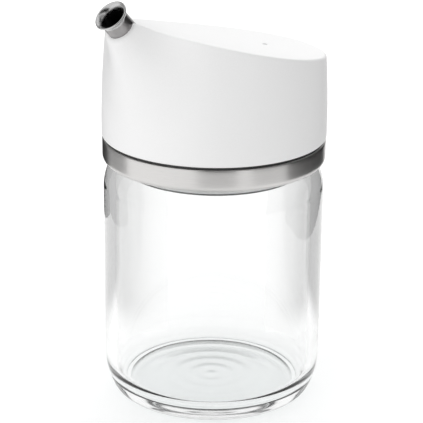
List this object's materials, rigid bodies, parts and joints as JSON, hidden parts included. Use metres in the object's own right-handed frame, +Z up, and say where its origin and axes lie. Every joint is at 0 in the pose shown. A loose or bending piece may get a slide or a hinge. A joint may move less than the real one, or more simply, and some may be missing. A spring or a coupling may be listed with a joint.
{
  "type": "oil dispenser",
  "caption": "Table oil dispenser: round clear glass jar, brushed steel collar, smooth white cap that sweeps up to a beak with a short flared steel pouring spout, and a vent hole.",
  "frame": {"origin": "on the jar's axis, in the plane of the foot it stands on", "axes": "+Z up along the jar's axis; the spout points to -X; XZ is the plane of symmetry"},
  "size_m": [0.0724, 0.0622, 0.1176],
  "materials": {
    "clear_glass": "clear, smooth",
    "steel": "brushed round the collar, polished at the spout's lip",
    "white_plastic": "smooth satin white",
    "dark_seal": "matte"
  },
  "bodies": {
    "root": {"jar": "clear_glass", "collar": "steel", "seal_ring": "dark_seal", "stopper": "white_plastic", "cap_shell": "white_plastic", "spout": "steel"}
  },
  "joints": []
}
